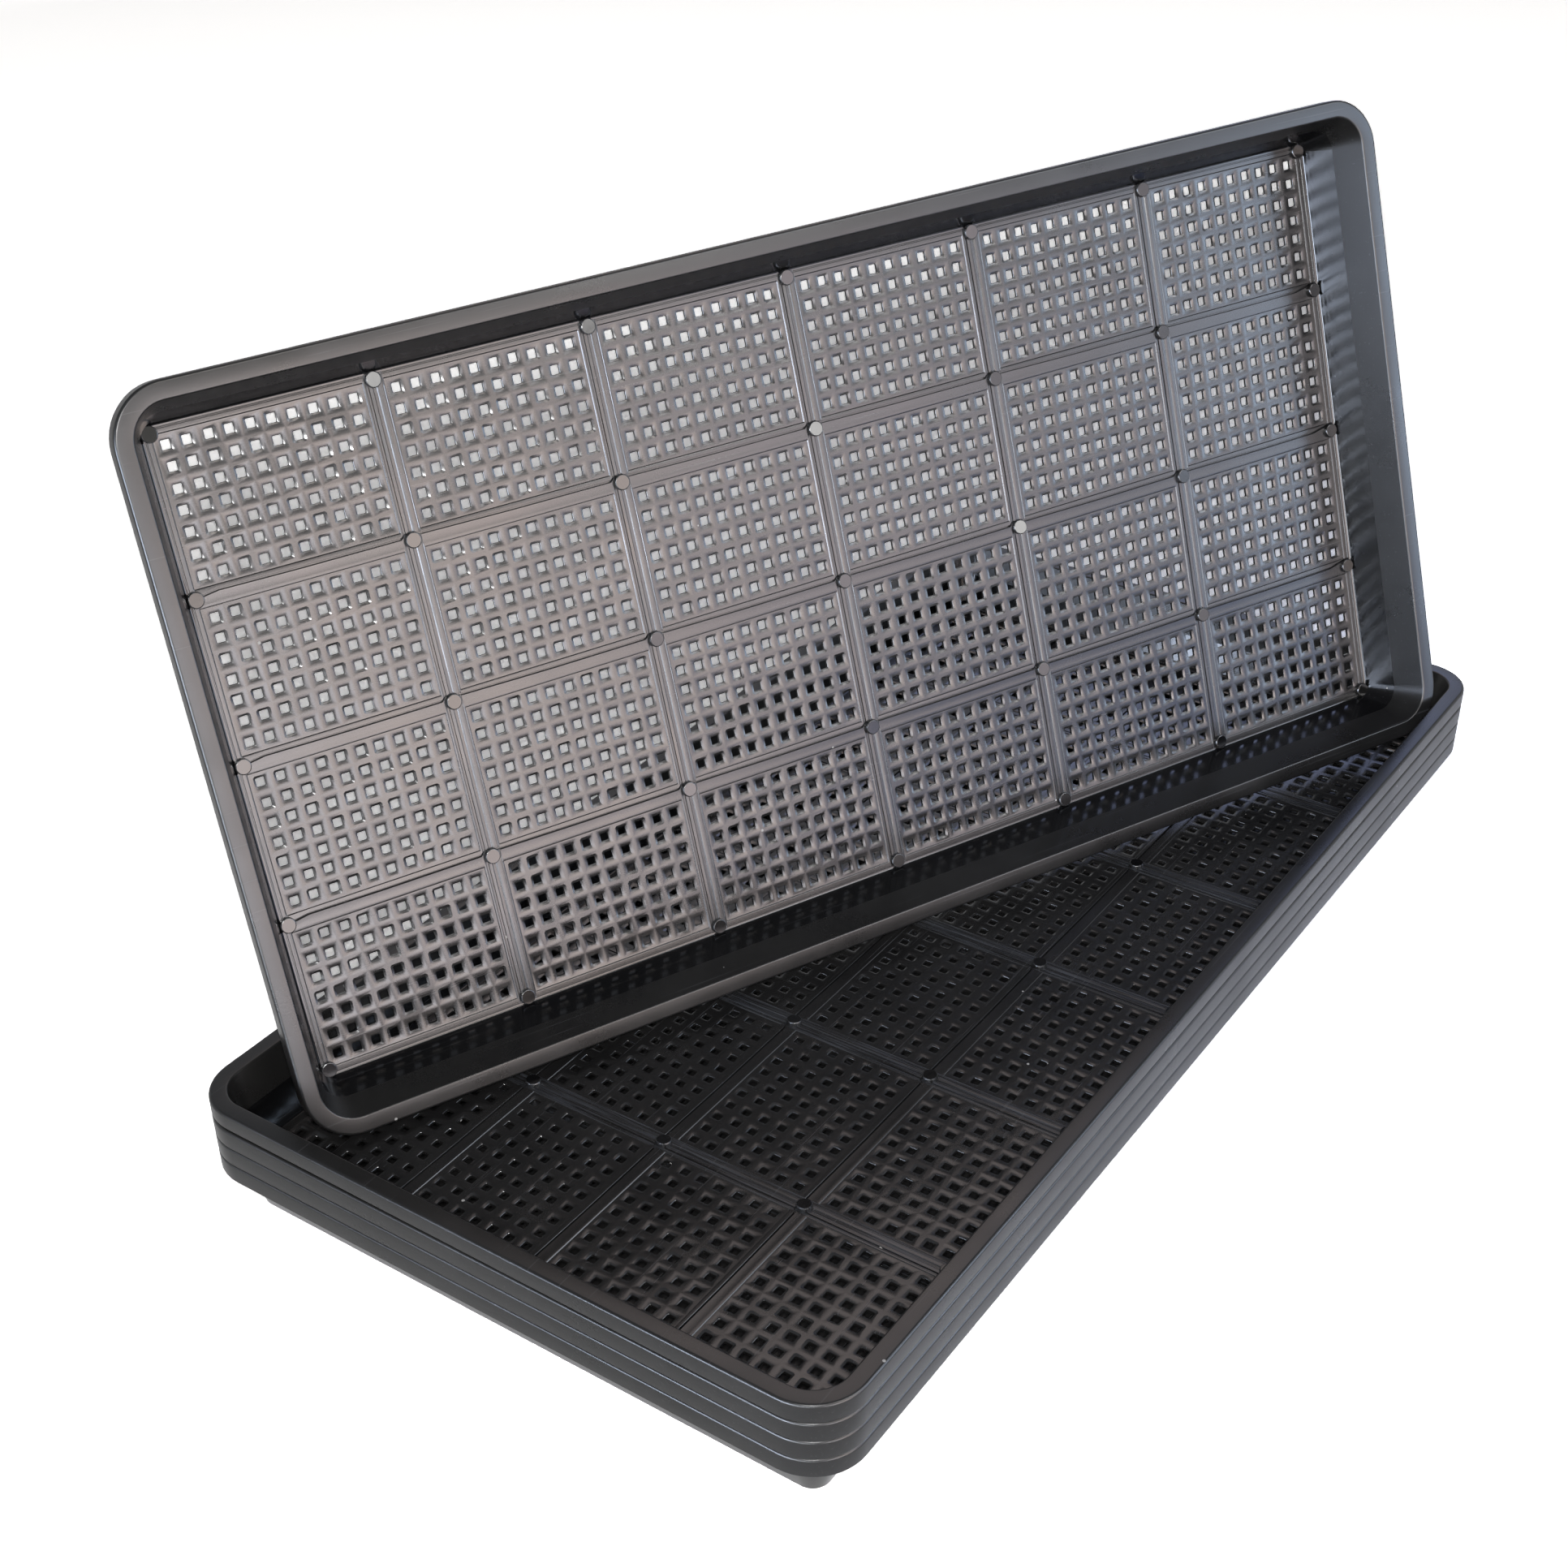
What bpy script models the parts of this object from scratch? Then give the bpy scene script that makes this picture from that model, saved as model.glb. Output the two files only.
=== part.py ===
"""Five shallow mesh-floored growing trays: four nested in a stack, the fifth standing in the top one.

Each tray is one thin-walled moulding: a drafted wall, a turned-over rim and a floor of square windows.
Metres, +Z up, origin at the middle of the bottom tray's underside, X along the nested trays' long side.
"""
import math
from collections import namedtuple

import bpy
import bmesh
import numpy as np
from mathutils import Euler, Matrix, Vector

# The floor is a grid of panels, each a field of windows inside a plain margin.
PANELS_LONG = 6
PANELS_SHORT = 4
PANEL_LENGTH = 0.08467
PANEL_WIDTH = 0.06096
PANEL_MARGIN = 0.0042
WINDOW_SHARE = 0.56
WINDOW_TAPER = 0.0012
GROOVE_WIDTH = 0.0014
GROOVE_DEPTH = 0.0009
STUD_RADIUS = 0.0030
STUD_HEIGHT = 0.0015
STUD_SIDES = 6

# The moulding.
WALL = 0.0018
DEPTH = 0.0280
WALL_SPREAD = 0.0083
RIM_WIDTH = 0.0068
SKIRT_DROP = 0.0077
FLOOR_CORNER_RADIUS = 0.0050
FLOOR_FILLET = 0.0010
INNER_EDGE_RADIUS = 0.0008
OUTER_EDGE_RADIUS = 0.0012

# The stack, and the pose of the tray that stands across it.
SEAT_GAP = 0.0003
NESTED_NAMES = ("bottom_tray", "second_tray", "third_tray", "fourth_tray")
STANDING_NAME = "standing_tray"
STAND_TURN = math.radians(-25.4)
STAND_LEAN = math.radians(19.2)
STAND_END_RISE = math.radians(1.37)
STAND_SHIFT_X = 0.00065
STAND_SHIFT_Y = -0.00998
CONTACT_STEP = 0.0015

# Worked out from the sizes above.
FLOOR_LENGTH = PANELS_LONG * PANEL_LENGTH
FLOOR_WIDTH = PANELS_SHORT * PANEL_WIDTH
FLOOR_TOP = WALL
RIM_TOP = WALL + DEPTH
RIM_INNER = WALL_SPREAD
RIM_OUTER = WALL_SPREAD + RIM_WIDTH
DRAFT = WALL_SPREAD / DEPTH
WALL_ACROSS = WALL * math.hypot(1.0, DRAFT)

# How finely a tray is made. The trays are alike, so those hidden in the stack have fewer faces: windows
# along and across a panel, whether the floor has its studs and grooves, and segments in round corners.
Detail = namedtuple("Detail", "windows_long windows_short studs grooves corner_steps edge_steps")
FINE = Detail(3, 3, True, True, 4, 2)
MIDDLE = Detail(3, 2, True, False, 4, 1)
PLAIN = Detail(1, 2, False, False, 3, 1)
DETAILS = {"bottom_tray": PLAIN, "second_tray": PLAIN, "third_tray": PLAIN, "fourth_tray": MIDDLE}


def clear_scene():
    for obj in list(bpy.data.objects):
        bpy.data.objects.remove(obj, do_unlink=True)


def new_collection(name):
    collection = bpy.data.collections.new(name)
    bpy.context.scene.collection.children.link(collection)
    return collection


def plastic(name, colour, roughness):
    material = bpy.data.materials.new(name)
    material.use_nodes = True
    shader = material.node_tree.nodes["Principled BSDF"]
    shader.inputs["Base Color"].default_value = (*colour, 1.0)
    shader.inputs["Roughness"].default_value = roughness
    shader.inputs["Metallic"].default_value = 0.0
    return material


def outline(grow, corner_steps):
    """Points round the floor's outline grown by an offset, as a rectangle with round corners."""
    radius = max(FLOOR_CORNER_RADIUS + grow, 0.0002)
    centre_x = FLOOR_LENGTH / 2 + grow - radius
    centre_y = FLOOR_WIDTH / 2 + grow - radius
    points = []
    for quarter, (side_x, side_y) in enumerate(((1, 1), (-1, 1), (-1, -1), (1, -1))):
        for step in range(corner_steps + 1):
            angle = math.radians(90 * (quarter + step / corner_steps))
            points.append((side_x * centre_x + radius * math.cos(angle),
                           side_y * centre_y + radius * math.sin(angle)))
    return points


def round_corner(before, corner, after, radius, steps):
    """The arc of a radius that takes the place of one corner of a profile line."""
    corner = Vector(corner)
    way_in = (Vector(before) - corner).normalized()
    way_out = (Vector(after) - corner).normalized()
    half_angle = way_in.angle(way_out) / 2
    centre = corner + (way_in + way_out).normalized() * (radius / math.sin(half_angle))
    start = corner + way_in * (radius / math.tan(half_angle)) - centre
    sweep = math.copysign(math.pi - 2 * half_angle, start.cross(-way_in))
    arc = []
    for step in range(steps + 1):
        turn = Matrix.Rotation(sweep * step / steps, 2)
        arc.append(centre + turn @ start)
    return [tuple(point) for point in arc]


def tray_profile(steps):
    """Offset and height of each ring, from the middle of the floor's top over the rim to its underside."""
    floor_start = (-PANEL_MARGIN, FLOOR_TOP)
    floor_edge = (0.0, FLOOR_TOP)
    rim_inside = (RIM_INNER, RIM_TOP)
    rim_outside = (RIM_OUTER, RIM_TOP)
    skirt_outside = (RIM_OUTER, RIM_TOP - SKIRT_DROP)
    skirt_inside = (RIM_OUTER - WALL, RIM_TOP - SKIRT_DROP)
    under_rim_outside = (RIM_OUTER - WALL, RIM_TOP - WALL)
    under_rim_inside = (RIM_INNER - WALL * DRAFT + WALL_ACROSS, RIM_TOP - WALL)
    base_edge = (WALL_ACROSS - WALL * DRAFT, 0.0)
    base_start = (-PANEL_MARGIN, 0.0)
    profile = round_corner(floor_start, floor_edge, rim_inside, FLOOR_FILLET, steps)
    profile += round_corner(floor_edge, rim_inside, rim_outside, INNER_EDGE_RADIUS, steps)
    profile += round_corner(rim_inside, rim_outside, skirt_outside, OUTER_EDGE_RADIUS, steps + 1)
    profile += [skirt_outside, skirt_inside, under_rim_outside, under_rim_inside]
    profile += round_corner(under_rim_inside, base_edge, base_start, FLOOR_FILLET + WALL, steps)
    return profile


def loft(bm, rings):
    """Join equal rings of points into one closed skin, capped at both ends."""
    loops = [[bm.verts.new(point) for point in ring] for ring in rings]
    count = len(loops[0])
    for low, high in zip(loops, loops[1:]):
        for index in range(count):
            following = (index + 1) % count
            bm.faces.new((low[index], low[following], high[following], high[index]))
    bm.faces.new(loops[0])
    bm.faces.new(reversed(loops[-1]))
    bmesh.ops.recalc_face_normals(bm, faces=bm.faces)


def mesh_object(name, bm, collection):
    mesh = bpy.data.meshes.new(name)
    bm.to_mesh(mesh)
    bm.free()
    obj = bpy.data.objects.new(name, mesh)
    collection.objects.link(obj)
    return obj


def add_block(bm, centre, size, top_growth=0.0):
    """A box, whose top may be wider than its bottom by top_growth on each side."""
    block = bmesh.ops.create_cube(bm, size=1.0)
    for vert in block["verts"]:
        grow = top_growth if vert.co.z > 0 else 0.0
        for axis in range(2):
            vert.co[axis] *= size[axis] + 2 * grow
        vert.co.z *= size[2]
        vert.co += Vector(centre)


def panel_centres():
    for column in range(PANELS_LONG):
        for row in range(PANELS_SHORT):
            yield ((column + 0.5) * PANEL_LENGTH - FLOOR_LENGTH / 2,
                   (row + 0.5) * PANEL_WIDTH - FLOOR_WIDTH / 2)


def window_cutter(detail, collection):
    """Square tapered windows, wider at the top of the floor, over the field of each panel."""
    pitch_x = (PANEL_LENGTH - 2 * PANEL_MARGIN) / detail.windows_long
    pitch_y = (PANEL_WIDTH - 2 * PANEL_MARGIN) / detail.windows_short
    size = (pitch_x * WINDOW_SHARE, pitch_y * WINDOW_SHARE, 3 * WALL)
    bm = bmesh.new()
    for panel_x, panel_y in panel_centres():
        for column in range(detail.windows_long):
            for row in range(detail.windows_short):
                x = panel_x + (column - (detail.windows_long - 1) / 2) * pitch_x
                y = panel_y + (row - (detail.windows_short - 1) / 2) * pitch_y
                add_block(bm, (x, y, WALL / 2), size, WINDOW_TAPER)
    return mesh_object("windows", bm, collection)


def groove_cutter(along_x, collection):
    """Shallow grooves between the panels, all in one direction, ending at the fillet of the wall."""
    bm = bmesh.new()
    length = (FLOOR_LENGTH if along_x else FLOOR_WIDTH) - 2 * FLOOR_FILLET
    lines = PANELS_SHORT if along_x else PANELS_LONG
    pitch = PANEL_WIDTH if along_x else PANEL_LENGTH
    for line in range(1, lines):
        across = (line - lines / 2) * pitch
        centre = (0.0, across, FLOOR_TOP) if along_x else (across, 0.0, FLOOR_TOP)
        size = (length, GROOVE_WIDTH) if along_x else (GROOVE_WIDTH, length)
        add_block(bm, centre, (*size, 2 * GROOVE_DEPTH))
    return mesh_object("grooves_x" if along_x else "grooves_y", bm, collection)


def stud_places():
    """One stud at each crossing of the panel lines, those at the edge moved in to stand on the floor."""
    reach_x = FLOOR_LENGTH / 2 - STUD_RADIUS
    reach_y = FLOOR_WIDTH / 2 - STUD_RADIUS
    for column in range(PANELS_LONG + 1):
        for row in range(PANELS_SHORT + 1):
            x = (column - PANELS_LONG / 2) * PANEL_LENGTH
            y = (row - PANELS_SHORT / 2) * PANEL_WIDTH
            yield max(-reach_x, min(reach_x, x)), max(-reach_y, min(reach_y, y))


def studs_solid(collection):
    height = STUD_HEIGHT + WALL / 2
    bm = bmesh.new()
    for x, y in stud_places():
        stud = bmesh.ops.create_cone(bm, cap_ends=True, segments=STUD_SIDES, radius1=STUD_RADIUS,
                                     radius2=STUD_RADIUS, depth=height)
        bmesh.ops.translate(bm, vec=(x, y, FLOOR_TOP + STUD_HEIGHT - height / 2), verts=stud["verts"])
    return mesh_object("studs", bm, collection)


def combine(obj, other, operation):
    modifier = obj.modifiers.new(other.name, "BOOLEAN")
    modifier.object = other
    modifier.operation = operation
    modifier.solver = "EXACT"


def tray_mesh(detail, name, parts, cutters):
    """One whole tray, as a mesh whose own origin is the middle of its underside."""
    bm = bmesh.new()
    rings = []
    for grow, height in tray_profile(detail.edge_steps):
        rings.append([(x, y, height) for x, y in outline(grow, detail.corner_steps)])
    loft(bm, rings)
    blank = mesh_object(name, bm, parts)
    helpers = [window_cutter(detail, cutters)]
    if detail.grooves:
        helpers += [groove_cutter(True, cutters), groove_cutter(False, cutters)]
    for helper in helpers:
        combine(blank, helper, "DIFFERENCE")
    if detail.studs:
        helpers.append(studs_solid(cutters))
        combine(blank, helpers[-1], "UNION")
    for helper in helpers:
        helper.hide_render = True
        helper.display_type = "WIRE"
    bpy.context.view_layer.update()
    depsgraph = bpy.context.evaluated_depsgraph_get()
    mesh = bpy.data.meshes.new_from_object(blank.evaluated_get(depsgraph))
    mesh.name = name
    for obj in [blank, *helpers]:
        bpy.data.objects.remove(obj, do_unlink=True)
    mesh.set_sharp_from_angle(angle=math.radians(35))
    return mesh


def nest_pitch():
    """How far each nested tray sits above the one below: skirt on rim, wall in wall or floor on studs."""
    skirt_on_rim = SKIRT_DROP + SEAT_GAP
    wall_in_wall = (WALL_ACROSS + SEAT_GAP * math.hypot(1.0, DRAFT)) / DRAFT
    floor_on_studs = WALL + STUD_HEIGHT + SEAT_GAP
    return max(skirt_on_rim, wall_in_wall, floor_on_studs)


def tray_outside_points():
    """Points all over the outside of a tray, close enough together to find where it touches."""
    profile = tray_profile(1)
    points = []
    for (grow_a, height_a), (grow_b, height_b) in zip(profile, profile[1:]):
        rows = max(1, math.ceil(math.hypot(grow_b - grow_a, height_b - height_a) / CONTACT_STEP))
        for row in range(rows):
            share = row / rows
            corners = outline(grow_a + (grow_b - grow_a) * share, 6)
            height = height_a + (height_b - height_a) * share
            for start, end in zip(corners, corners[1:] + corners[:1]):
                count = max(1, math.ceil(math.dist(start, end) / CONTACT_STEP))
                for step in range(count):
                    along = step / count
                    points.append((start[0] + (end[0] - start[0]) * along,
                                   start[1] + (end[1] - start[1]) * along, height))
    return np.array(points)


def floor_height_below(points, floor_top):
    """Height of the open tray under each point, with the seat gap added all over its walls."""
    radius = FLOOR_CORNER_RADIUS
    across_x = np.abs(points[:, 0]) - (FLOOR_LENGTH / 2 - radius)
    across_y = np.abs(points[:, 1]) - (FLOOR_WIDTH / 2 - radius)
    outside = np.hypot(np.maximum(across_x, 0), np.maximum(across_y, 0)) - radius
    outside = outside + np.minimum(np.maximum(across_x, across_y), 0)
    up_the_wall = (outside + SEAT_GAP * math.hypot(1.0, DRAFT)) / DRAFT
    height = floor_top + np.clip(up_the_wall, 0.0, DEPTH) + SEAT_GAP
    for stud_x, stud_y in stud_places():
        on_stud = np.hypot(points[:, 0] - stud_x, points[:, 1] - stud_y) < STUD_RADIUS + SEAT_GAP
        height = np.where(on_stud, np.maximum(height, floor_top + STUD_HEIGHT + SEAT_GAP), height)
    beyond = outside > RIM_OUTER + SEAT_GAP
    return np.where(beyond, -1.0, height)


def standing_matrix(floor_top):
    """Stand a tray on its long side across the top one, and let it down until it touches."""
    turn = Euler((math.pi / 2 - STAND_LEAN, -STAND_END_RISE, STAND_TURN), "XYZ").to_matrix().to_4x4()
    foot = Vector((0.0, -(FLOOR_WIDTH / 2 + RIM_OUTER), RIM_TOP - SKIRT_DROP))
    place = Vector((STAND_SHIFT_X, STAND_SHIFT_Y, 0.0)) - turn @ foot
    points = tray_outside_points() @ np.array(turn.to_3x3()).T + np.array(place)
    lift = float(np.max(floor_height_below(points, floor_top) - points[:, 2]))
    return Matrix.Translation(place + Vector((0.0, 0.0, lift))) @ turn


def place_tray(name, mesh, material, matrix, collection):
    obj = bpy.data.objects.new(name, mesh)
    obj.data.materials.clear()
    obj.data.materials.append(material)
    collection.objects.link(obj)
    obj.matrix_world = matrix
    return obj


def main():
    clear_scene()
    parts = new_collection("microgreen_growing_trays")
    cutters = new_collection("cutters")
    pitch = nest_pitch()
    meshes = {}
    for level, name in enumerate(NESTED_NAMES):
        detail = DETAILS[name]
        if detail not in meshes:
            meshes[detail] = tray_mesh(detail, name, parts, cutters)
        material = plastic(name + "_plastic", (0.040, 0.039, 0.040), 0.38)
        mesh = meshes[detail].copy()
        mesh.name = name
        place_tray(name, mesh, material, Matrix.Translation((0.0, 0.0, level * pitch)), parts)
    floor_top = (len(NESTED_NAMES) - 1) * pitch + FLOOR_TOP
    standing = tray_mesh(FINE, STANDING_NAME, parts, cutters)
    material = plastic(STANDING_NAME + "_plastic", (0.055, 0.052, 0.052), 0.34)
    place_tray(STANDING_NAME, standing, material, standing_matrix(floor_top), parts)
    bpy.context.view_layer.update()


main()
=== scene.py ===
import math
import random
from collections import namedtuple

import bpy
import numpy as np
from mathutils import Euler, Matrix, Vector


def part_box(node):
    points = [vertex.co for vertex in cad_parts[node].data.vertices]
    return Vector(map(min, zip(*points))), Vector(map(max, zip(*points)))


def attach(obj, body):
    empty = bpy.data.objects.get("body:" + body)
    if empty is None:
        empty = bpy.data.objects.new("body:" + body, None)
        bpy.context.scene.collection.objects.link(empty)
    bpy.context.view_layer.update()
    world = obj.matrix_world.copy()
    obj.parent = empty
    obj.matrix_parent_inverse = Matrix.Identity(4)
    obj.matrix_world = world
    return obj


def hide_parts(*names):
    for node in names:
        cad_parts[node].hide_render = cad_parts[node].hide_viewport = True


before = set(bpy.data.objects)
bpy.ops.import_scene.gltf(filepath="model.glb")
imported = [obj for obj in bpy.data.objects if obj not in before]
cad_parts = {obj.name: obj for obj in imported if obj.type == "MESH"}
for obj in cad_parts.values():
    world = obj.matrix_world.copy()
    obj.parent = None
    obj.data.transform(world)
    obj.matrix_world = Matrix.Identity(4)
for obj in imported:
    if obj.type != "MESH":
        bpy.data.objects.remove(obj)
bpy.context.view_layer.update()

# Looks of five growing trays: four nested, the fifth standing on its long side in the top one.
# Metres, in the frame of the solids. The tray is built in full detail twice, the second time with a warped
# skirt for the top nested tray. Copies of the first stand in the places of the other four.

# Sizes of one tray, as the solids have them.
PANELS_LONG = 6
PANELS_SHORT = 4
PANEL_LENGTH = 0.08467
PANEL_WIDTH = 0.06096
WALL = 0.0018
DEPTH = 0.0280
WALL_SPREAD = 0.0083
RIM_WIDTH = 0.0068
SKIRT_DROP = 0.0077
FLOOR_CORNER_RADIUS = 0.0050
FLOOR_FILLET = 0.0010
BASE_FILLET = 0.0031
INNER_EDGE_RADIUS = 0.0008
OUTER_EDGE_RADIUS = 0.0012
SKIRT_EDGE_RADIUS = 0.0004
STUD_RADIUS = 0.0030
STUD_HEIGHT = 0.0015
NESTED_TRAYS = (("bottom_tray", "bottom"), ("second_tray", "second"),
                ("third_tray", "third"), ("fourth_tray", "fourth"))
# How far the standing tray is tilted from upright, rises towards its right end and is turned from the stack.
STANDING_TILT = math.radians(19.2)
STANDING_RISE = math.radians(1.37)
STANDING_SIDEWAYS = math.radians(25.4)
STANDING_TURN = (math.pi / 2 - STANDING_TILT, -STANDING_RISE, -STANDING_SIDEWAYS)

# Worked out from the sizes above.
FLOOR_LENGTH = PANELS_LONG * PANEL_LENGTH
FLOOR_WIDTH = PANELS_SHORT * PANEL_WIDTH
FLOOR_TOP = WALL
RIM_TOP = WALL + DEPTH
RIM_INNER = WALL_SPREAD
# The rim is drawn in by this much, to stay inside the box of the coarser solids.
RIM_EASE = 0.00006
RIM_OUTER = WALL_SPREAD + RIM_WIDTH - RIM_EASE
DRAFT = WALL_SPREAD / DEPTH
WALL_ACROSS = WALL * math.hypot(1.0, DRAFT)

# The mesh of each panel: square holes with a shallow bevelled mouth and a straight throat.
HOLES_LONG = 10
HOLES_SHORT = 7
HOLE_PITCH = 0.00762
FIELD_DROP = 0.0003
# Half size, cut corner and height of each ring of a hole from its mouth down, and its share of THROAT_SHIFT.
HOLE_RINGS = ((0.00272, 0.00068, FLOOR_TOP - FIELD_DROP, 0.0),
              (0.00174, 0.00034, FLOOR_TOP - FIELD_DROP - 0.00036, 0.8),
              (0.00166, 0.00028, FLOOR_TOP - FIELD_DROP - 0.00046, 1.0),
              (0.00164, 0.00026, 0.0, 1.0))
# Moulding leaves no two holes or studs quite alike: how far a throat is off its mouth's middle, and how
# far a stud's top leans.
VARIATION = random.Random(5)
THROAT_SHIFT = 0.00022
STUD_LEAN = 0.045
# A few studs lean further: their numbers, and the lean along x and y.
LEANING_STUDS = {18: (0.046, -0.123), 22: (0.107, -0.179), 9: (-0.080, -0.062)}

# Profiles across the strips between panels, in millimetres from the panel line: how far across,
# the height of the raised border and the depth of what is cut into it.
MM = 0.001
FIELD_EDGE_X = (PANEL_LENGTH - HOLES_LONG * HOLE_PITCH) / 2
FIELD_EDGE_Y = (PANEL_WIDTH - HOLES_SHORT * HOLE_PITCH) / 2
COLUMN_STRIP = ((-4.05, -0.30, 0.0), (-3.80, -0.04, 0.0), (-3.60, 0.0, 0.0), (-3.20, 0.0, 0.0),
                (-2.95, 0.0, -0.14), (-2.60, 0.0, -0.15), (-2.48, 0.0, -0.62), (-2.02, 0.0, -0.62),
                (-1.90, 0.0, -0.15), (-0.70, 0.0, -0.10), (-0.40, 0.0, -0.30), (0.75, 0.0, -0.34),
                (1.05, 0.0, -0.10), (1.40, 0.0, -0.03), (2.40, 0.0, 0.0), (3.10, 0.0, -0.05),
                (3.25, 0.0, -0.14), (3.45, 0.0, -0.14), (3.60, 0.0, 0.0), (3.85, -0.04, 0.0),
                (4.05, -0.30, 0.0))
ROW_STRIP = ((-3.65, -0.30, 0.0), (-3.40, -0.06, 0.0), (-3.10, 0.0, 0.0), (-2.20, 0.0, -0.05),
             (-0.60, 0.0, -0.07), (0.72, 0.0, 0.0), (0.84, 0.0, -0.10), (0.90, 0.0, -1.15),
             (1.50, 0.0, -1.15), (1.56, 0.0, -0.10), (1.68, 0.0, 0.0), (2.90, 0.0, 0.0),
             (3.20, -0.04, 0.0), (3.50, -0.30, 0.0))
# The strip along each wall, by the distance from the floor's edge.
EDGE_STRIP = ((3.70, -0.28, 0.0), (3.50, -0.12, 0.0), (3.30, -0.02, 0.0), (3.00, 0.0, 0.0))
# How far the groove between rows swerves beside a stud, by the distance along the groove from that stud.
SWERVE = ((-4.1, 0.0), (-2.6, 1.3), (2.6, 0.8), (4.1, 0.45), (40.0, 0.0))
# The same from the left wall and from the right wall, by the distance from the wall.
LEFT_SWERVE = ((1.0, -0.8), (4.235, -0.8), (11.855, 0.35))
RIGHT_SWERVE = ((1.0, 1.5), (4.235, 1.5), (11.855, 0.0))
# The share of the swerve that a point takes, by its distance across the strip.
SWERVE_SHARE = ((-3.3, 0.0), (0.5, 1.0), (1.9, 1.0), (3.4, 0.0))
# The floor between the last grid line and the wall: distance from the floor's edge, and height.
EDGE_RINGS = ((1.90, 0.0), (1.72, -0.16), (1.42, -0.16), (1.24, 0.0), (1.05, 0.0))
# No groove runs out to the wall this near to a corner, and none swerves this near to a long wall.
GROOVE_MARGIN = 0.006

# The walls and the rim, which are swept round the floor.
ARC_STEPS = 12
# Their straight sides have this many stretches for each panel's length.
WALL_STRETCHES = 3
# A point of a ring is on a straight side where the cosine or sine of its direction is above this.
STRAIGHT = 0.999
# The corners' arcs are drawn in by this share at their middle, to stay inside the coarser solids' box.
CORNER_EASE = 0.006
# Where the floor's lines start that the wall's foot is rounded from, as an offset from the floor's edge.
PROFILE_START = -0.0042
# Edges that turn by more degrees than this look sharp.
SHARP_ANGLE = 18.5

# The studs: radius of each ring from the flat top down the softened edge, and how far below the top it lies.
STUD_RINGS = ((0.0026, 0.0), (0.00282, 0.0001), (STUD_RADIUS, 0.0004))
STUD_SIDES = 24
# Height of a stud's foot, inside the thickness of the floor.
STUD_FOOT = WALL / 4
# A stud this near to two walls stands over the rounded foot of a corner, so it reaches down only a little.
CORNER_STUD_REACH = 0.01
CORNER_STUD_DEPTH = 0.0008

# The skirt of the top nested tray is a little warped. It ends higher than the other trays' by this much at
# the middle, by more towards its +Y side and by less towards its -X end.
SKIRT_LIFT = 0.0011
SKIRT_LIFT_ACROSS = 0.0005
SKIRT_LIFT_ALONG = 0.0004

# Each point's place on its own tray, which the finishes follow however the tray stands.
PLACE_ON_TRAY = "place_on_tray"

# A grid line of the floor: its place, the height of the border there, the depth of what is cut into it, and
# whether a hole follows.
GridLine = namedtuple("GridLine", "place border cut before_hole")


def panel_lines(panels, pitch, field_edge, holes, strip):
    """All grid lines along one side of the floor."""
    half = panels * pitch / 2
    lines = []
    for across, border, cut in reversed(EDGE_STRIP):
        lines.append(GridLine(-half + across * MM, border * MM, cut * MM, False))
    for panel in range(panels):
        start = -half + panel * pitch
        for hole in range(holes + 1):
            place = start + field_edge + hole * HOLE_PITCH
            lines.append(GridLine(place, -FIELD_DROP, 0.0, hole < holes))
        if panel < panels - 1:
            for across, border, cut in strip:
                lines.append(GridLine(start + pitch + across * MM, border * MM, cut * MM, False))
    for across, border, cut in EDGE_STRIP:
        lines.append(GridLine(half - across * MM, border * MM, cut * MM, False))
    return lines


class Skin:
    """Points and faces of a mesh, with the place of each face's corners on the texture sheet."""

    def __init__(self):
        self.points = []
        self.faces = []
        self.sheets = []
        self.finishes = []

    def point(self, x, y, z):
        self.points.append((x, y, z))
        return len(self.points) - 1

    def face(self, corners, sheet, finish):
        self.faces.append(corners)
        self.sheets.append(sheet)
        self.finishes.append(finish)


# Where each part of a tray lies on its texture sheet, in metres, and the width of that sheet.
SHEET_WIDTH = 0.800
SHEET_GAP = 0.006
TOP_SHEET = (0.262, 0.128)
FLOOR_SHEET_PITCH = 0.254
BASE_SHEET = (TOP_SHEET[0], TOP_SHEET[1] + FLOOR_SHEET_PITCH)
STRIP_SHEET_Y = 0.520
STRIP_SHEET_HEIGHT = 0.091
STUD_SHEET = (0.545, 0.012)
STUD_SHEET_PITCH = 0.011
STUD_SHEET_COLUMNS = 7
# Radius of each ring of a stud on the sheet, from the flat top down.
STUD_SHEET_RADII = (0.0026, 0.00285, 0.0033, 0.0050)
FLOOR_FINISH, WALL_FINISH, RIM_FINISH = range(3)


def top_sheet(point):
    return point[0] + TOP_SHEET[0], point[1] + TOP_SHEET[1]


def base_sheet(point):
    return point[0] + BASE_SHEET[0], point[1] + BASE_SHEET[1]


def flat_face(skin, corners, sheet):
    """A face of the floor, laid on its texture sheet as seen from above."""
    skin.face(corners, [sheet(skin.points[corner]) for corner in corners], FLOOR_FINISH)


def hole_ring(half, cut):
    """The corners of a square hole with cut corners, anticlockwise from the lower right."""
    near = half - cut
    return ((half, -near), (half, near), (near, half), (-near, half),
            (-half, near), (-half, -near), (-near, -half), (near, -half))


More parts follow.
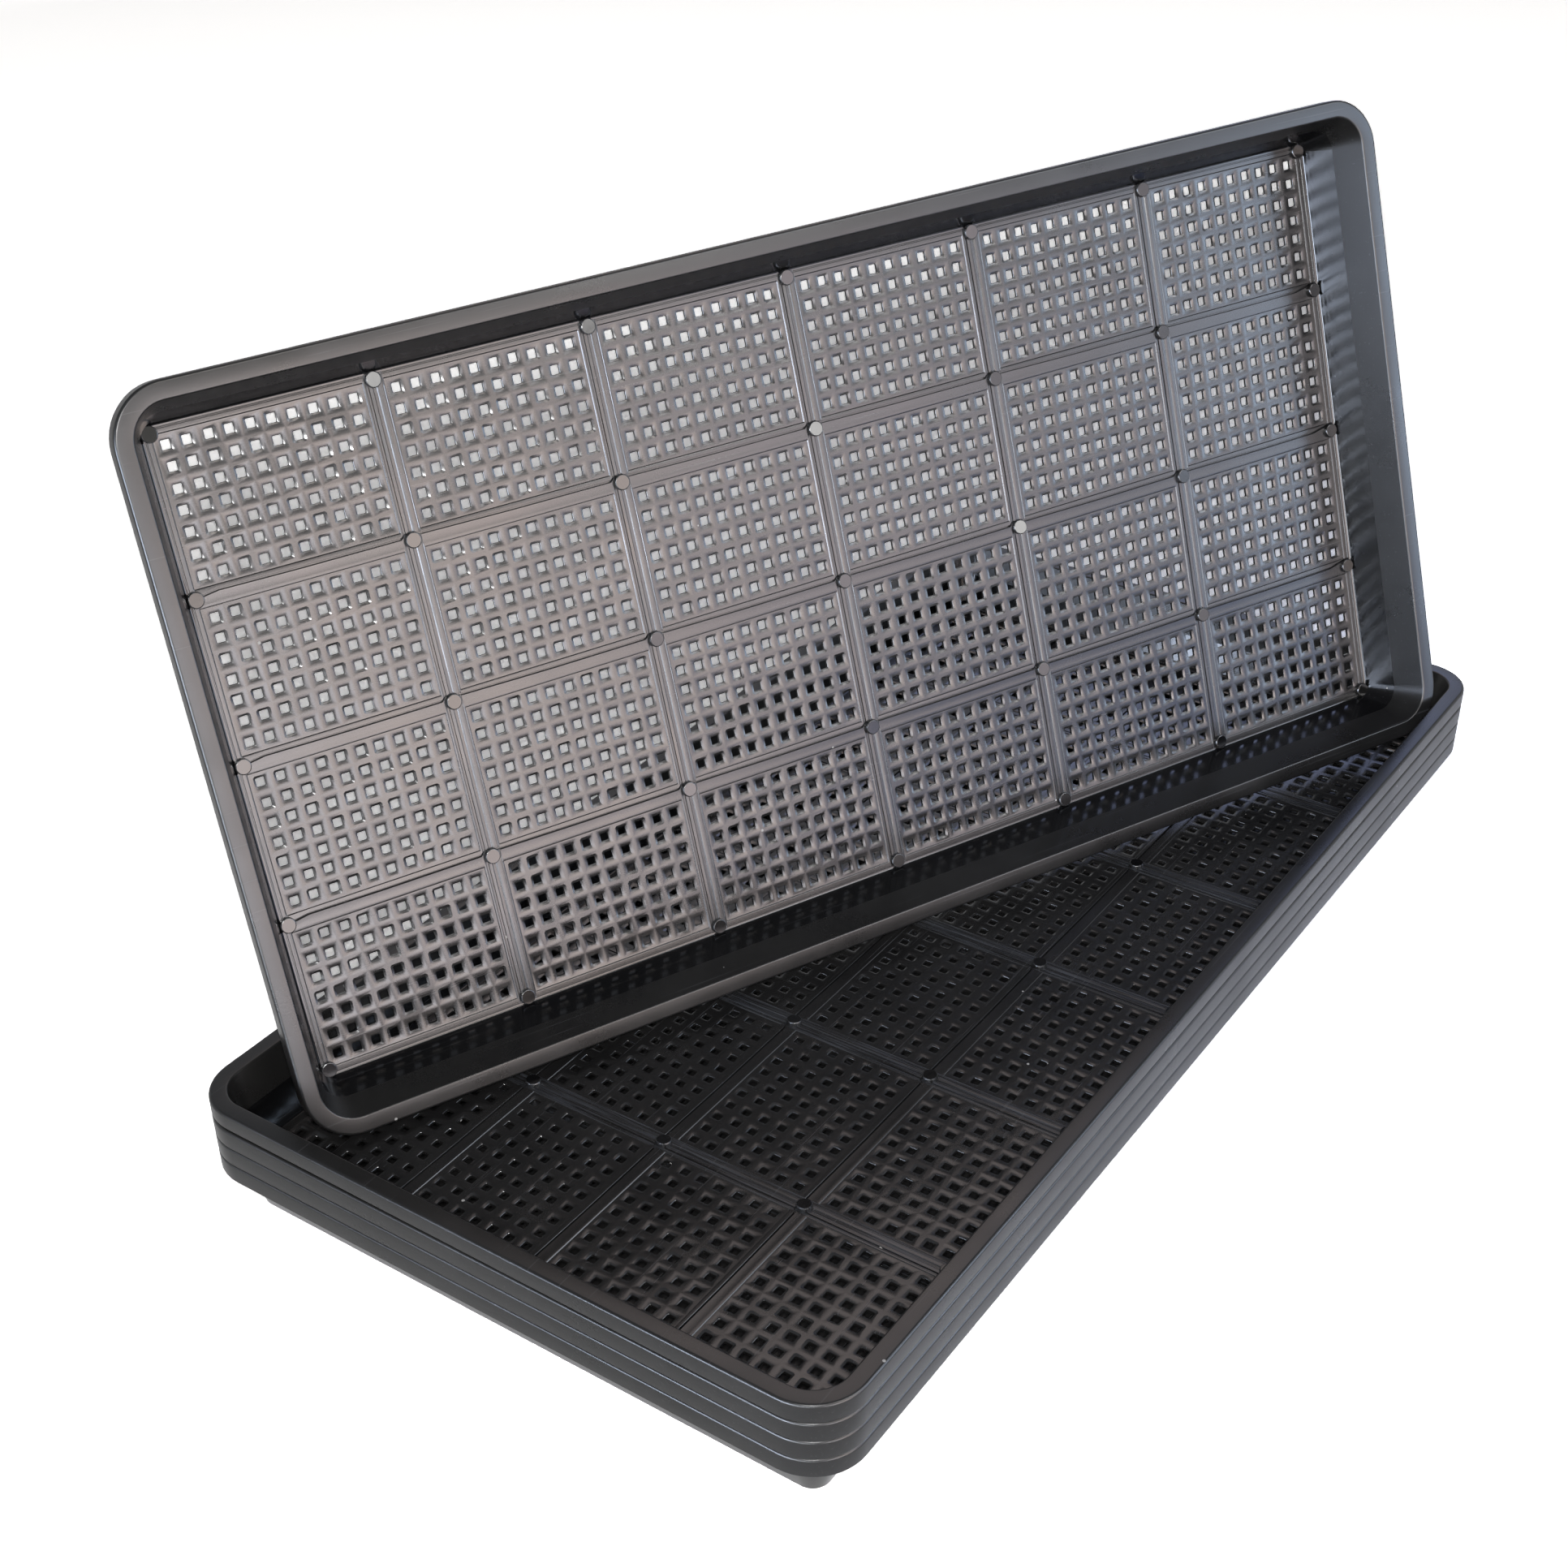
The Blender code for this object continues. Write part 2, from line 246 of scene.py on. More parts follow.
def add_hole(skin, top_corners, base_corners, centre):
    """One hole: the floor round its mouth, its sides and the underside round its foot."""
    shift_x = VARIATION.uniform(-THROAT_SHIFT, THROAT_SHIFT)
    shift_y = VARIATION.uniform(-THROAT_SHIFT, THROAT_SHIFT)
    rings = []
    for half, cut, height, share in HOLE_RINGS:
        middle_x = centre[0] + share * shift_x
        middle_y = centre[1] + share * shift_y
        rings.append([skin.point(middle_x + x, middle_y + y, height) for x, y in hole_ring(half, cut)])
    mouth, foot = rings[0], rings[-1]
    for side in range(len(top_corners)):
        low, high = 2 * side, 2 * side + 1
        following = (side + 1) % len(top_corners)
        beyond = (high + 1) % len(mouth)
        flat_face(skin, (top_corners[side], top_corners[following], mouth[high], mouth[low]), top_sheet)
        flat_face(skin, (top_corners[following], mouth[beyond], mouth[high]), top_sheet)
        flat_face(skin, (base_corners[following], base_corners[side], foot[low], foot[high]), base_sheet)
        flat_face(skin, (base_corners[following], foot[high], foot[beyond]), base_sheet)
    for level, (upper, lower) in enumerate(zip(rings, rings[1:])):
        sheet = top_sheet if level < len(rings) - 2 else base_sheet
        for corner in range(len(upper)):
            following = (corner + 1) % len(upper)
            flat_face(skin, (upper[corner], upper[following], lower[following], lower[corner]), sheet)


def perimeter(grid):
    """The outer points of a grid, anticlockwise from its lower right corner."""
    right = grid[-1]
    top = [column[-1] for column in reversed(grid)]
    left = list(reversed(grid[0]))
    bottom = [column[0] for column in grid]
    return right[:-1] + top[:-1] + left[:-1] + bottom[:-1]


def add_floor(skin):
    """The floor's top and underside with their holes. Returns both outer edges and the grid's places."""
    lines_x = panel_lines(PANELS_LONG, PANEL_LENGTH, FIELD_EDGE_X, HOLES_LONG, COLUMN_STRIP)
    lines_y = panel_lines(PANELS_SHORT, PANEL_WIDTH, FIELD_EDGE_Y, HOLES_SHORT, ROW_STRIP)
    places_x = [line.place for line in lines_x]
    places_y = [line.place for line in lines_y]
    top = []
    for line_x in lines_x:
        column = []
        for line_y in lines_y:
            height = FLOOR_TOP + max(line_x.border, line_y.border) + min(line_x.cut, line_y.cut)
            place_y = line_y.place + swerve(line_x.place, line_y.place)
            column.append(skin.point(line_x.place, place_y, height))
        top.append(column)
    base_x = [index for index in range(len(lines_x)) if is_base_line(lines_x, index)]
    base_y = [index for index in range(len(lines_y)) if is_base_line(lines_y, index)]
    base = [[skin.point(places_x[at_x], places_y[at_y], 0.0) for at_y in base_y] for at_x in base_x]
    for at_x in range(len(lines_x) - 1):
        for at_y in range(len(lines_y) - 1):
            if not (lines_x[at_x].before_hole and lines_y[at_y].before_hole):
                corners = (top[at_x][at_y], top[at_x + 1][at_y],
                           top[at_x + 1][at_y + 1], top[at_x][at_y + 1])
                flat_face(skin, corners, top_sheet)
    for column, at_x in enumerate(base_x[:-1]):
        for row, at_y in enumerate(base_y[:-1]):
            corners = (base[column + 1][row], base[column + 1][row + 1],
                       base[column][row + 1], base[column][row])
            if lines_x[at_x].before_hole and lines_y[at_y].before_hole:
                top_corners = (top[at_x + 1][at_y], top[at_x + 1][at_y + 1],
                               top[at_x][at_y + 1], top[at_x][at_y])
                centre = (places_x[at_x] + HOLE_PITCH / 2, places_y[at_y] + HOLE_PITCH / 2)
                add_hole(skin, top_corners, corners, centre)
            else:
                flat_face(skin, tuple(reversed(corners)), base_sheet)
    return perimeter(top), perimeter(base), places_x, places_y


def from_line(place, pitch):
    """How far a place is from the nearest line between two panels."""
    return ((place / pitch + 0.5) % 1.0 - 0.5) * pitch


def swerve(x, y):
    """How far the groove between two rows of panels, and what lies beside it, swerves at a place."""
    if abs(y) > FLOOR_WIDTH / 2 - GROOVE_MARGIN:
        return 0.0
    from_left = x + FLOOR_LENGTH / 2
    from_right = FLOOR_LENGTH / 2 - x
    if from_left < LEFT_SWERVE[-1][0] * MM:
        amount = curve_at(from_left, LEFT_SWERVE)
    elif from_right < RIGHT_SWERVE[-1][0] * MM:
        amount = curve_at(from_right, RIGHT_SWERVE)
    else:
        amount = curve_at(from_line(x, PANEL_LENGTH), SWERVE)
    return amount * MM * curve_at(from_line(y, PANEL_WIDTH), SWERVE_SHARE)


def curve_at(distance, curve):
    """The value of a curve given in millimetres at a distance in metres."""
    return float(np.interp(distance / MM, [point[0] for point in curve], [point[1] for point in curve]))


def is_base_line(lines, index):
    """The underside has only the first and last grid lines and those beside a hole."""
    beside = lines[index].before_hole or (index > 0 and lines[index - 1].before_hole)
    return beside or index in (0, len(lines) - 1)


def ring_plan(places_x, places_y):
    """For every point of a ring: its place on the rectangle through the corners' centres, and its way out.

    The plan starts at the middle of the corner at +X -Y and goes anticlockwise.
    """
    reach_x = FLOOR_LENGTH / 2 - FLOOR_CORNER_RADIUS
    reach_y = FLOOR_WIDTH / 2 - FLOOR_CORNER_RADIUS
    inner_x = [x for x in places_x if abs(x) < reach_x - MM]
    inner_y = [y for y in places_y if abs(y) < reach_y - MM]
    corners = ((reach_x, reach_y), (-reach_x, reach_y), (-reach_x, -reach_y), (reach_x, -reach_y))
    plan = []
    for quarter in range(4):
        arc_x, arc_y = corners[quarter]
        before_x, before_y = corners[quarter - 1]
        for step in range(ARC_STEPS // 2, ARC_STEPS):
            angle = math.radians(90 * (quarter - 1 + step / ARC_STEPS))
            plan.append((before_x, before_y, angle))
        angle = math.radians(90 * quarter)
        plan.append((before_x, before_y, angle))
        # The right side and the lower one are walked forwards, the upper and the left one backwards.
        straight = inner_y if quarter % 2 == 0 else inner_x
        for place in (straight if quarter in (0, 3) else reversed(straight)):
            if quarter % 2 == 0:
                plan.append((arc_x, place, angle))
            else:
                plan.append((place, arc_y, angle))
        plan.append((arc_x, arc_y, angle))
        for step in range(1, ARC_STEPS // 2):
            plan.append((arc_x, arc_y, angle + math.radians(90 * step / ARC_STEPS)))
    return plan


def place_ring(skin, plan, grow, height, cuts=None):
    """Points of one ring at an offset from the floor's edge. cuts lowers those in line with a groove."""
    ring = []
    for index, (x, y, angle) in enumerate(plan):
        radius = (FLOOR_CORNER_RADIUS + grow) * (1.0 - CORNER_EASE * abs(math.sin(2 * angle)))
        level = min(height, cuts[index]) if cuts else height
        place_x = x + radius * math.cos(angle)
        place_y = y + radius * math.sin(angle)
        if cuts and abs(math.cos(angle)) > STRAIGHT:
            place_y += swerve(place_x, place_y)
        ring.append(skin.point(place_x, place_y, level))
    return ring


def zip_rings(skin, inner, outer, sheet):
    """Triangles between two rings of unlike counts, from the inner's first point and the one beside it."""
    points = skin.points
    nearest = min(range(len(outer)), key=lambda index: math.dist(points[outer[index]], points[inner[0]]))
    outer = outer[nearest:] + outer[:nearest]
    at_inner = at_outer = 0
    while at_inner < len(inner) or at_outer < len(outer):
        here, next_here = inner[at_inner % len(inner)], inner[(at_inner + 1) % len(inner)]
        there, next_there = outer[at_outer % len(outer)], outer[(at_outer + 1) % len(outer)]
        step_inner = math.dist(points[next_here], points[there])
        step_outer = math.dist(points[here], points[next_there])
        if at_outer == len(outer) or (at_inner < len(inner) and step_inner < step_outer):
            flat_face(skin, (here, there, next_here), sheet)
            at_inner += 1
        else:
            flat_face(skin, (here, there, next_there), sheet)
            at_outer += 1


def join_rings(skin, inner, outer, sheet):
    """Faces between two rings with the same number of points."""
    for index in range(len(inner)):
        following = (index + 1) % len(inner)
        flat_face(skin, (inner[index], outer[index], outer[following], inner[following]), sheet)


def round_corner(before, corner, after, radius, steps):
    """The arc of a radius that takes the place of one corner of a profile line."""
    corner = Vector(corner)
    way_in = (Vector(before) - corner).normalized()
    way_out = (Vector(after) - corner).normalized()
    half_angle = way_in.angle(way_out) / 2
    centre = corner + (way_in + way_out).normalized() * (radius / math.sin(half_angle))
    start = corner + way_in * (radius / math.tan(half_angle)) - centre
    sweep = math.copysign(math.pi - 2 * half_angle, start.cross(-way_in))
    arc = []
    for step in range(steps + 1):
        turn = Matrix.Rotation(sweep * step / steps, 2)
        arc.append(centre + turn @ start)
    return [tuple(point) for point in arc]


def wall_profile():
    """Offset, height and finish of each ring from the inner wall's foot over the rim to the underside."""
    floor_start = (PROFILE_START, FLOOR_TOP)
    floor_edge = (0.0, FLOOR_TOP)
    rim_inside = (RIM_INNER, RIM_TOP)
    rim_outside = (RIM_OUTER, RIM_TOP)
    skirt_outside = (RIM_OUTER, RIM_TOP - SKIRT_DROP)
    skirt_inside = (RIM_OUTER - WALL, RIM_TOP - SKIRT_DROP)
    under_rim_outside = (RIM_OUTER - WALL, RIM_TOP - WALL)
    under_rim_inside = (RIM_INNER - WALL * DRAFT + WALL_ACROSS, RIM_TOP - WALL)
    base_edge = (WALL_ACROSS - WALL * DRAFT, 0.0)
    base_start = (PROFILE_START, 0.0)
    middle = (RIM_INNER / 2, FLOOR_TOP + DEPTH / 2)
    outer_middle = ((base_edge[0] + under_rim_inside[0]) / 2, (RIM_TOP - WALL) / 2)
    stretches = (
        (WALL_FINISH, round_corner(floor_start, floor_edge, rim_inside, FLOOR_FILLET, 6)),
        (WALL_FINISH, [middle]),
        (RIM_FINISH, round_corner(floor_edge, rim_inside, rim_outside, INNER_EDGE_RADIUS, 6)),
        (RIM_FINISH, round_corner(rim_inside, rim_outside, skirt_outside, OUTER_EDGE_RADIUS, 7)),
        (RIM_FINISH, round_corner(rim_outside, skirt_outside, skirt_inside, SKIRT_EDGE_RADIUS, 5)),
        (WALL_FINISH, round_corner(skirt_outside, skirt_inside, under_rim_outside, SKIRT_EDGE_RADIUS, 5)),
        (WALL_FINISH, [under_rim_outside, under_rim_inside, outer_middle]),
        (WALL_FINISH, round_corner(under_rim_inside, base_edge, base_start, BASE_FILLET, 5)))
    return [(grow, height, finish) for finish, points in stretches for grow, height in points]


def strip_sheet(side, along, up):
    """Place on the texture sheet of a point on one of the four sides, each unrolled as a strip."""
    row = side // 2
    if side % 2:
        return SHEET_GAP + along, STRIP_SHEET_Y + row * STRIP_SHEET_HEIGHT + up
    shift = SHEET_GAP + row * (FLOOR_WIDTH + 2 * RIM_OUTER + SHEET_GAP)
    return shift + along, STRIP_SHEET_Y + 2 * STRIP_SHEET_HEIGHT + up


def add_walls(skin, plan, profile, rings):
    """Faces of the walls and rim, each side unrolled on its own strip of the texture sheet."""
    count = len(plan)
    # Lengths along the sides are measured at the rim's inner edge.
    measured = Skin()
    place_ring(measured, plan, RIM_INNER, 0.0)
    up = [0.0]
    for (grow_a, height_a, _), (grow_b, height_b, _) in zip(profile, profile[1:]):
        up.append(up[-1] + math.hypot(grow_b - grow_a, height_b - height_a))
    starts = [index for index in range(count) if is_side_start(plan, index)]
    for side, start in enumerate(starts):
        end = starts[side + 1] if side + 1 < len(starts) else count
        along = 0.0
        for index in range(start, end):
            following = (index + 1) % count
            step = math.dist(measured.points[index], measured.points[following])
            for level in range(len(rings) - 1):
                inner, outer = rings[level], rings[level + 1]
                corners = (inner[index], outer[index], outer[following], inner[following])
                sheet = [strip_sheet(side, along, up[level]), strip_sheet(side, along, up[level + 1]),
                         strip_sheet(side, along + step, up[level + 1]),
                         strip_sheet(side, along + step, up[level])]
                skin.face(corners, sheet, profile[level + 1][2])
            along += step


def is_side_start(plan, index):
    """Each side starts in the middle of a corner's arc."""
    turns = plan[index][2] / math.radians(90) + 0.5
    return math.isclose(turns, round(turns), abs_tol=0.001)


def stud_places():
    """A stud on every crossing of panel lines, those at the walls drawn in to stand on the floor."""
    reach_x = FLOOR_LENGTH / 2 - STUD_RADIUS
    reach_y = FLOOR_WIDTH / 2 - STUD_RADIUS
    for column in range(PANELS_LONG + 1):
        for row in range(PANELS_SHORT + 1):
            x = (column - PANELS_LONG / 2) * PANEL_LENGTH
            y = (row - PANELS_SHORT / 2) * PANEL_WIDTH
            yield max(-reach_x, min(reach_x, x)), max(-reach_y, min(reach_y, y))


def add_stud(skin, number, x, y):
    """A low flat-topped stud with a softened edge, sunk a little way into the floor."""
    lean_x = VARIATION.uniform(-STUD_LEAN, STUD_LEAN)
    lean_y = VARIATION.uniform(-STUD_LEAN, STUD_LEAN)
    lean_x, lean_y = LEANING_STUDS.get(number, (lean_x, lean_y))
    in_corner = (abs(x) > FLOOR_LENGTH / 2 - CORNER_STUD_REACH
                 and abs(y) > FLOOR_WIDTH / 2 - CORNER_STUD_REACH)
    foot = FLOOR_TOP - CORNER_STUD_DEPTH if in_corner else STUD_FOOT
    top = FLOOR_TOP + STUD_HEIGHT
    rings = [(radius, top - drop) for radius, drop in STUD_RINGS] + [(STUD_RADIUS, foot)]
    sheet_x = STUD_SHEET[0] + (number % STUD_SHEET_COLUMNS) * STUD_SHEET_PITCH
    sheet_y = STUD_SHEET[1] + (number // STUD_SHEET_COLUMNS) * STUD_SHEET_PITCH
    loops = []
    for radius, height in rings:
        loop = []
        for side in range(STUD_SIDES):
            angle = 2 * math.pi * side / STUD_SIDES
            across, along = radius * math.cos(angle), radius * math.sin(angle)
            lean = lean_x * across + lean_y * along if height > FLOOR_TOP else 0.0
            loop.append(skin.point(x + across, y + along, height + lean))
        loops.append(loop)

    def on_sheet(level, side, shift=0.0):
        angle = 2 * math.pi * side / STUD_SIDES
        radius = STUD_SHEET_RADII[level]
        return sheet_x + shift + radius * math.cos(angle), sheet_y + radius * math.sin(angle)

    for level in range(len(loops) - 1):
        for side in range(STUD_SIDES):
            following = (side + 1) % STUD_SIDES
            corners = (loops[level + 1][side], loops[level + 1][following],
                       loops[level][following], loops[level][side])
            sheet = [on_sheet(level + 1, side), on_sheet(level + 1, side + 1),
                     on_sheet(level, side + 1), on_sheet(level, side)]
            skin.face(corners, sheet, FLOOR_FINISH)
    skin.face(tuple(loops[0]), [on_sheet(0, side) for side in range(STUD_SIDES)], WALL_FINISH)
    # The undersides of the studs lie in a block of their own, to the right of the others on the sheet.
    beyond = (STUD_SHEET_COLUMNS + 1) * STUD_SHEET_PITCH
    underside = [on_sheet(1, side, beyond) for side in reversed(range(STUD_SIDES))]
    skin.face(tuple(reversed(loops[-1])), underside, FLOOR_FINISH)


def tray_mesh(skirt_lifted=False):
    """One tray in full detail, about the middle of its underside."""
    skin = Skin()
    top_edge, base_edge, places_x, places_y = add_floor(skin)
    fine_plan = ring_plan(places_x, places_y)
    stretch = PANEL_LENGTH / WALL_STRETCHES
    coarse_x = [-FLOOR_LENGTH / 2 + stretch * number for number in range(1, WALL_STRETCHES * PANELS_LONG)]
    coarse_y = [-FLOOR_WIDTH / 2 + stretch * number for number in range(1, int(FLOOR_WIDTH / stretch) + 1)]
    coarse_plan = ring_plan(coarse_x, coarse_y)
    cuts = groove_cuts(fine_plan)
    edges = [place_ring(skin, fine_plan, -distance * MM, FLOOR_TOP + height * MM, cuts)
             for distance, height in EDGE_RINGS]
    profile = wall_profile()
    rings = [place_ring(skin, coarse_plan, grow, height) for grow, height, _ in profile]
    if skirt_lifted:
        lift_skirt(skin, profile, rings)
    zip_rings(skin, top_edge, edges[0], top_sheet)
    for inner, outer in zip(edges, edges[1:]):
        join_rings(skin, inner, outer, top_sheet)
    zip_rings(skin, edges[-1], rings[0], top_sheet)
    add_walls(skin, coarse_plan, profile, rings)
    zip_rings(skin, rings[-1], base_edge, base_sheet)
    for number, (x, y) in enumerate(stud_places()):
        add_stud(skin, number, x, y)
    return build_mesh(skin)


def skirt_lift(x, y):
    """How much higher than the other trays' the skirt of the top nested tray ends at a place."""
    across = SKIRT_LIFT_ACROSS * y / (FLOOR_WIDTH / 2)
    along = SKIRT_LIFT_ALONG * min(0.0, x / (FLOOR_LENGTH / 2))
    return SKIRT_LIFT + across + along


def lift_skirt(skin, profile, rings):
    """Raises the lower edge of the skirt by an amount that depends on the place."""
    margin = MM / 10
    edge = RIM_TOP - SKIRT_DROP + SKIRT_EDGE_RADIUS + margin
    for (grow, height, _), ring in zip(profile, rings):
        if grow > RIM_OUTER - WALL - margin and height < edge:
            for number in ring:
                x, y, z = skin.points[number]
                skin.points[number] = (x, y, z + skirt_lift(x, y))


def groove_cuts(plan):
    """How low the edge of the floor lies at each point of a ring, where a groove runs out to the wall."""
    row_cut = [(across, cut) for across, _, cut in ROW_STRIP]
    column_cut = [(across, cut) for across, _, cut in COLUMN_STRIP]
    cuts = []
    for x, y, angle in plan:
        if abs(math.cos(angle)) > STRAIGHT and abs(y) < FLOOR_WIDTH / 2 - GROOVE_MARGIN:
            cuts.append(FLOOR_TOP + curve_at(from_line(y, PANEL_WIDTH), row_cut) * MM)
        elif abs(math.sin(angle)) > STRAIGHT and abs(x) < FLOOR_LENGTH / 2 - GROOVE_MARGIN:
            cuts.append(FLOOR_TOP + curve_at(from_line(x, PANEL_LENGTH), column_cut) * MM)
        else:
            cuts.append(FLOOR_TOP)
    return cuts


def build_mesh(skin):
    mesh = bpy.data.meshes.new("tray")
    mesh.from_pydata(skin.points, [], skin.faces)
    mesh.polygons.foreach_set("material_index", skin.finishes)
    place = mesh.attributes.new(PLACE_ON_TRAY, "FLOAT_VECTOR", "POINT")
    place.data.foreach_set("vector", np.array(skin.points, float).ravel())
    sheet = mesh.uv_layers.new(name="OFBake")
    corners = [corner for face in skin.sheets for corner in face]
    sheet.data.foreach_set("uv", (np.array(corners, float) / SHEET_WIDTH).ravel())
    mesh.shade_smooth()
    mesh.set_sharp_from_angle(angle=math.radians(SHARP_ANGLE))
    mesh.update()
    return mesh


# Finishes. All are one black moulded plastic, polished to different degrees by the mould.
# Scales are in waves or specks for each metre. A range is the part of a pattern's values that shows.
WHITE = (1.0, 1.0, 1.0)
CLOUD_SCALE = 28.0
CLOUD_RANGE = (0.3, 0.7)
SCRATCH_SCALE = (14.0, 900.0, 900.0)
SCRATCH_TURN = (0.0, 0.0, 0.35)
SCRATCH_RANGE = (0.66, 0.72)
SCRATCH_COLOUR = (0.12, 0.12, 0.125)
# Rubbed streaks show on the strips between columns and fade out between these distances from their line.
# Their lighter bluish colour is partly real rubbed wear and partly a painted highlight.
STREAK_AND_HIGHLIGHT_EDGE = (0.0037, 0.0041)
STREAK_AND_HIGHLIGHT_SCALE = (1700.0, 35.0, 35.0)
STREAK_AND_HIGHLIGHT_RANGE = (0.44, 0.64)
STREAK_AND_HIGHLIGHT_COLOUR = (0.05, 0.055, 0.065)
DUST_SCALE = 210.0
DUST_RANGE = (0.985, 1.0)
DUST_SIZE = 0.16
DUST_COLOUR = (0.45, 0.44, 0.42)
# How much of the colour of the streaks, with their painted highlight, and of the dust shows, how much
# rougher all three make the surface, and how deep the scratches are beside the grain.
STREAK_AND_HIGHLIGHT_SHARE = 0.5
DUST_SHARE = 0.7
SCRATCH_ROUGHNESS = 0.25
DUST_ROUGHNESS = 0.4
STREAK_ROUGHNESS = 0.12
SCRATCH_DEPTH = 0.6
BUMP_STRENGTH = 0.6
PLASTIC_IOR = 1.5


class Nodes:
    """Short calls for adding and linking the nodes of a material, a lamp or the world."""

    def __init__(self, owner, shader):
        owner.use_nodes = True
        self.tree = owner.node_tree
        self.shader = self.tree.nodes[shader]

    def feed(self, socket, value):
        """Links an output to a socket, or sets the socket to a number, a vector or a colour."""
        if isinstance(value, bpy.types.NodeSocket):
            self.tree.links.new(value, socket)
        elif socket.type == "RGBA":
            socket.default_value = (*value, 1.0)
        else:
            socket.default_value = value

    def add(self, kind, settings=None, **inputs):
        """A node with its settings, and its inputs by their names with _ for each space."""
        node = self.tree.nodes.new(kind)
        for key, value in (settings or {}).items():
            setattr(node, key, value)
        for key, value in inputs.items():
            self.feed(node.inputs[key.replace("_", " ")], value)
        return node

    def math(self, operation, first, second):
        node = self.add("ShaderNodeMath", {"operation": operation})
        self.feed(node.inputs[0], first)
        self.feed(node.inputs[1], second)
        return node.outputs[0]

    def ramp(self, value, low, high, low_out, high_out):
        """Rises or falls straight between two values, and stays level beyond them."""
        node = self.add("ShaderNodeMapRange", {"clamp": True}, Value=value, From_Min=low, From_Max=high,
                        To_Min=low_out, To_Max=high_out)
        return node.outputs["Result"]

    def noise(self, place, scale, detail):
        return self.add("ShaderNodeTexNoise", Vector=place, Scale=scale, Detail=detail).outputs["Fac"]

    def mix_colour(self, factor, first, second, blend="MIX"):
        # The mix node has sockets for numbers, vectors and colours: 0 is the factor, 6 and 7 the colours.
        node = self.add("ShaderNodeMix", {"data_type": "RGBA", "blend_type": blend})
        self.feed(node.inputs[0], factor)
        self.feed(node.inputs[6], first)
        self.feed(node.inputs[7], second)
        return node.outputs[2]


def strip_streaks_and_highlights(nodes, place):
    """Fine rubbed streaks with a painted bluish highlight that run along the strips between columns of
    panels, from 0 to 1.
    """
    across = nodes.add("ShaderNodeSeparateXYZ", Vector=place).outputs["X"]
    across = nodes.math("PINGPONG", across, PANEL_LENGTH / 2)
    on_strip = nodes.ramp(across, *STREAK_AND_HIGHLIGHT_EDGE, 1.0, 0.0)
    stretch = nodes.add("ShaderNodeMapping", Vector=place, Scale=STREAK_AND_HIGHLIGHT_SCALE)
    lines = nodes.noise(stretch.outputs["Vector"], 1.0, 3.0)
    return nodes.math("MULTIPLY", on_strip, nodes.ramp(lines, *STREAK_AND_HIGHLIGHT_RANGE, 0.0, 1.0))


def scratches(nodes, place, amount):
    """Long thin scratches in one direction, from 0 to the amount."""
    stretch = nodes.add("ShaderNodeMapping", Vector=place, Rotation=SCRATCH_TURN, Scale=SCRATCH_SCALE)
    lines = nodes.noise(stretch.outputs["Vector"], 1.0, 2.0)
    return nodes.ramp(lines, *SCRATCH_RANGE, 0.0, amount)


def dust_specks(nodes, place):
    """A few round specks of unlike size: 1 on a speck and 0 beside it."""
    specks = nodes.add("ShaderNodeTexVoronoi", Vector=place, Scale=DUST_SCALE)
    rare = nodes.add("ShaderNodeSeparateColor", Color=specks.outputs["Color"]).outputs[0]
    size = nodes.ramp(rare, *DUST_RANGE, 0.0, DUST_SIZE)
    return nodes.math("LESS_THAN", specks.outputs["Distance"], size)


def plastic(name, dark, light, roughness, unevenness, grain, grain_height, scratched, gloss, streaked_and_highlighted=False):
    """Black plastic with cloudy colour and polish, fine grain, scratches and specks of dust."""
    material = bpy.data.materials.new(name)
    nodes = Nodes(material, "Principled BSDF")
    place = nodes.add("ShaderNodeAttribute", {"attribute_name": PLACE_ON_TRAY}).outputs["Vector"]
    clouds = nodes.noise(place, CLOUD_SCALE, 4.0)
    fine = nodes.noise(place, grain, 3.0)
    worn = scratches(nodes, place, scratched)
    dust = dust_specks(nodes, place)
    streaks_and_highlights = strip_streaks_and_highlights(nodes, place) if streaked_and_highlighted else 0.0
    colour = nodes.mix_colour(nodes.ramp(clouds, *CLOUD_RANGE, 0.0, 1.0), dark, light)
    colour = nodes.mix_colour(worn, colour, SCRATCH_COLOUR)
    if streaked_and_highlighted:
        # The streaks' lighter bluish colour is partly rubbed wear and partly a painted highlight.
        colour = nodes.mix_colour(nodes.math("MULTIPLY", streaks_and_highlights, STREAK_AND_HIGHLIGHT_SHARE), colour, STREAK_AND_HIGHLIGHT_COLOUR)
    colour = nodes.mix_colour(nodes.math("MULTIPLY", dust, DUST_SHARE), colour, DUST_COLOUR)
    nodes.feed(nodes.shader.inputs["Base Color"], colour)
    polish = nodes.ramp(clouds, *CLOUD_RANGE, roughness - unevenness, roughness + unevenness)
    polish = nodes.math("ADD", polish, nodes.math("MULTIPLY", nodes.math("ADD", fine, -0.5), unevenness))
    for pattern, rougher in ((worn, SCRATCH_ROUGHNESS), (dust, DUST_ROUGHNESS), (streaks_and_highlights, STREAK_ROUGHNESS)):
        polish = nodes.math("ADD", polish, nodes.math("MULTIPLY", pattern, rougher))
    nodes.feed(nodes.shader.inputs["Roughness"], polish)
    relief = nodes.math("SUBTRACT", fine, nodes.math("MULTIPLY", worn, SCRATCH_DEPTH))
    bump = nodes.add("ShaderNodeBump", Height=relief, Strength=BUMP_STRENGTH, Distance=grain_height)
    nodes.feed(nodes.shader.inputs["Normal"], bump.outputs["Normal"])
    nodes.shader.inputs["IOR"].default_value = PLASTIC_IOR
    nodes.shader.inputs["Specular IOR Level"].default_value = gloss
    return material


